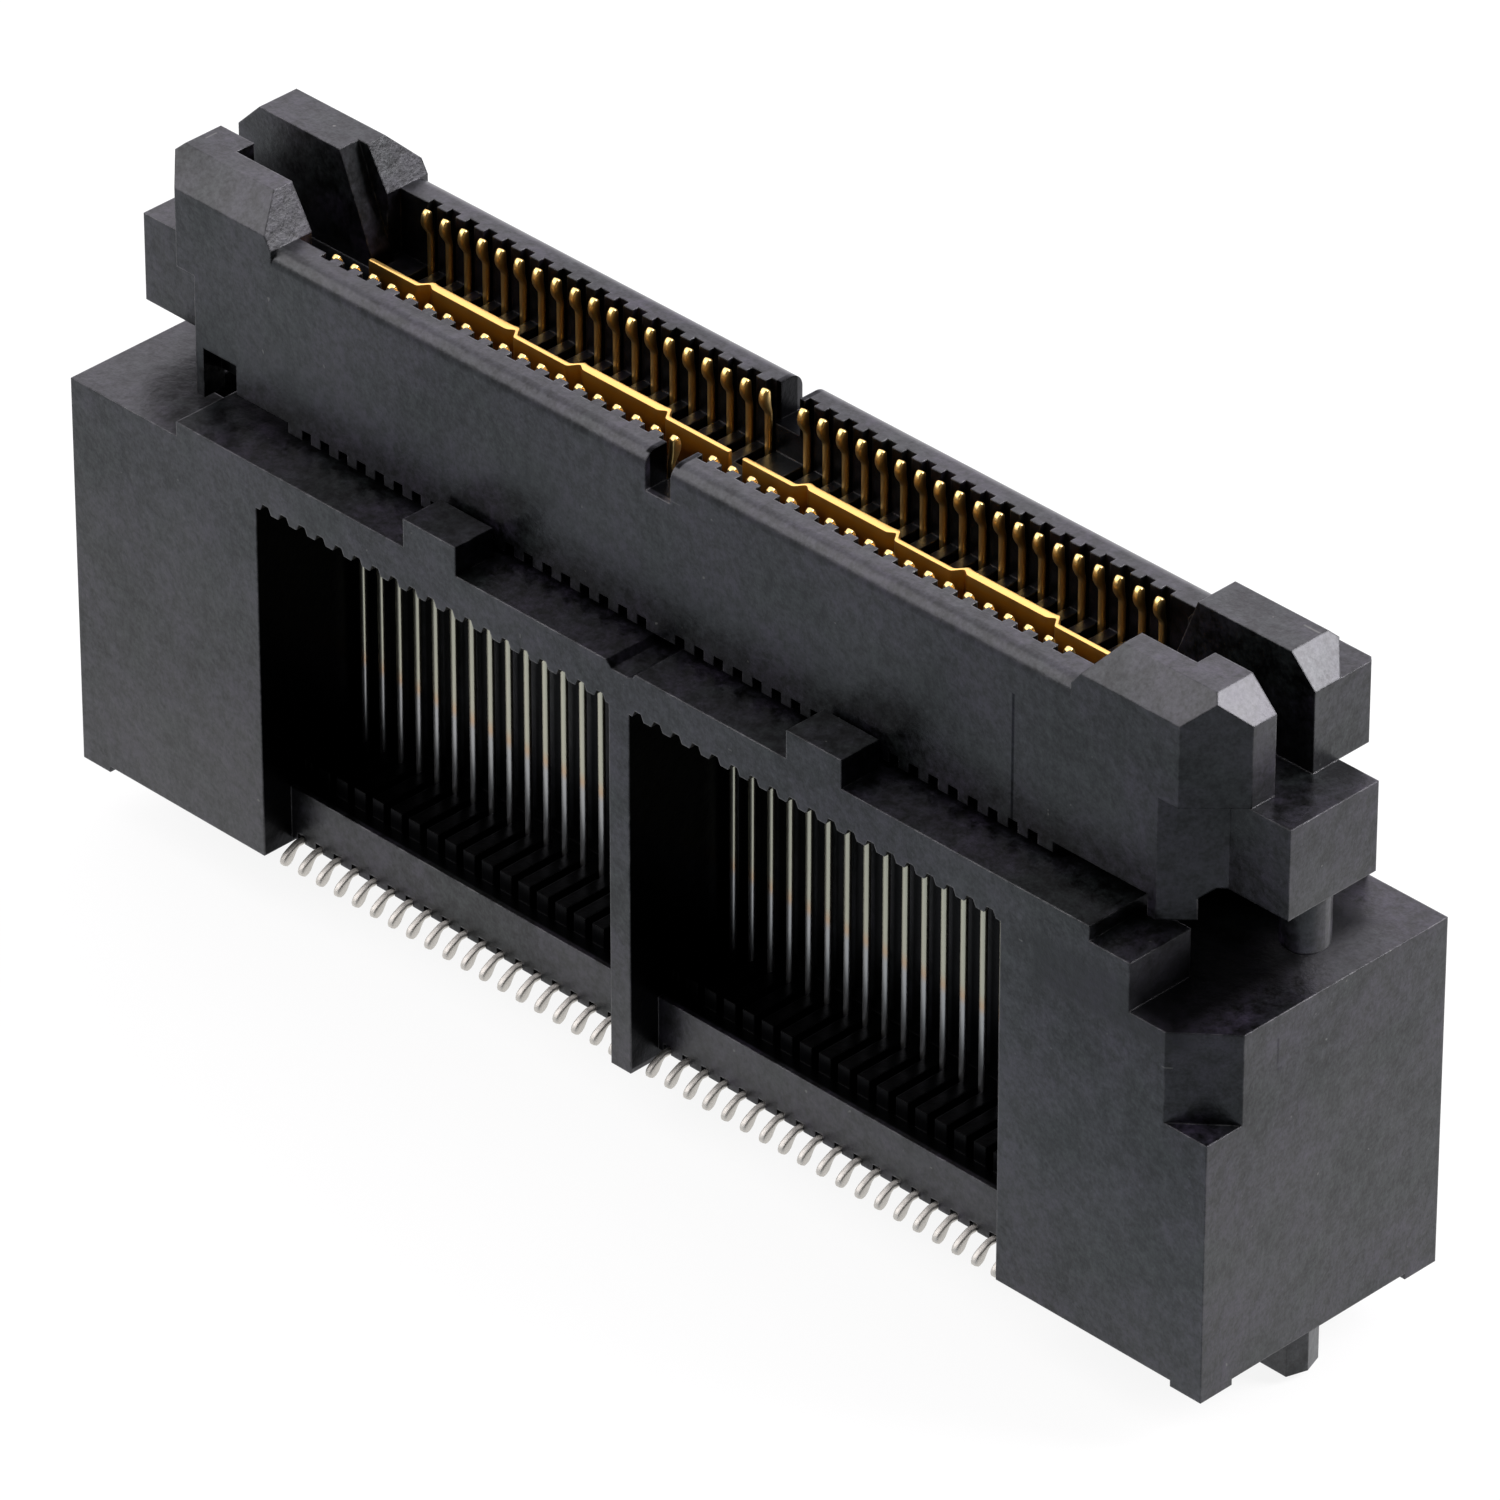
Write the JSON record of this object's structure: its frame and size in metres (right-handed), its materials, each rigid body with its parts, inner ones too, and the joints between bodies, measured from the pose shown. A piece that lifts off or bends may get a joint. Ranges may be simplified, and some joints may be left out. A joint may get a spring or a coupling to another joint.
{
  "type": "fine pitch floating board-to-board connector",
  "caption": "Upright fine-pitch board connector: a windowed fixed base, sprung contact blades and a guided floating head with end towers and an open contact trench.",
  "frame": {"origin": "middle of the connector on the board's surface, at the undersides of the soldering tails", "axes": "+X along the contact rows, +Y across them towards the rear row, +Z away from the board"},
  "size_m": [0.0298, 0.0062, 0.0149],
  "materials": {
    "fixed_resin": "moulded black resin, fine matte",
    "floating_resin": "moulded black resin, fine matte",
    "plate_gold": "gold plated sheet",
    "contact_metal": "gold plated hooks, pale plated beams, matte tin tails"
  },
  "bodies": {
    "fixed": {"fixed_housing": "fixed_resin", "contact_pair_01": "contact_metal", "contact_pair_02": "contact_metal", "contact_pair_03": "contact_metal", "contact_pair_04": "contact_metal", "contact_pair_05": "contact_metal", "contact_pair_06": "contact_metal", "contact_pair_07": "contact_metal", "contact_pair_08": "contact_metal", "contact_pair_09": "contact_metal", "contact_pair_10": "contact_metal", "contact_pair_11": "contact_metal", "contact_pair_12": "contact_metal", "contact_pair_13": "contact_metal", "contact_pair_14": "contact_metal", "contact_pair_15": "contact_metal", "contact_pair_16": "contact_metal", "contact_pair_17": "contact_metal", "contact_pair_18": "contact_metal", "contact_pair_19": "contact_metal", "contact_pair_20": "contact_metal", "contact_pair_21": "contact_metal", "contact_pair_22": "contact_metal", "contact_pair_23": "contact_metal", "contact_pair_24": "contact_metal", "contact_pair_25": "contact_metal", "contact_pair_26": "contact_metal", "contact_pair_27": "contact_metal", "contact_pair_28": "contact_metal", "contact_pair_29": "contact_metal", "contact_pair_30": "contact_metal", "contact_pair_31": "contact_metal", "contact_pair_32": "contact_metal", "contact_pair_33": "contact_metal", "contact_pair_34": "contact_metal", "contact_pair_35": "contact_metal", "contact_pair_36": "contact_metal", "contact_pair_37": "contact_metal", "contact_pair_38": "contact_metal"},
    "floating": {"floating_housing": "floating_resin", "ground_plate_1": "plate_gold", "ground_plate_2": "plate_gold"}
  },
  "joints": [
    {"name": "float_slide", "type": "slide", "parent": "fixed", "child": "floating", "axis": [1, 0, 0], "range_m": [-0.00035, 0.00035], "stiffness_N_per_m": 20, "deforming": ["contact_pair_01", "contact_pair_02", "contact_pair_03", "contact_pair_04", "contact_pair_05", "contact_pair_06", "contact_pair_07", "contact_pair_08", "contact_pair_09", "contact_pair_10", "contact_pair_11", "contact_pair_12", "contact_pair_13", "contact_pair_14", "contact_pair_15", "contact_pair_16", "contact_pair_17", "contact_pair_18", "contact_pair_19", "contact_pair_20", "contact_pair_21", "contact_pair_22", "contact_pair_23", "contact_pair_24", "contact_pair_25", "contact_pair_26", "contact_pair_27", "contact_pair_28", "contact_pair_29", "contact_pair_30", "contact_pair_31", "contact_pair_32", "contact_pair_33", "contact_pair_34", "contact_pair_35", "contact_pair_36", "contact_pair_37", "contact_pair_38"]}
  ]
}
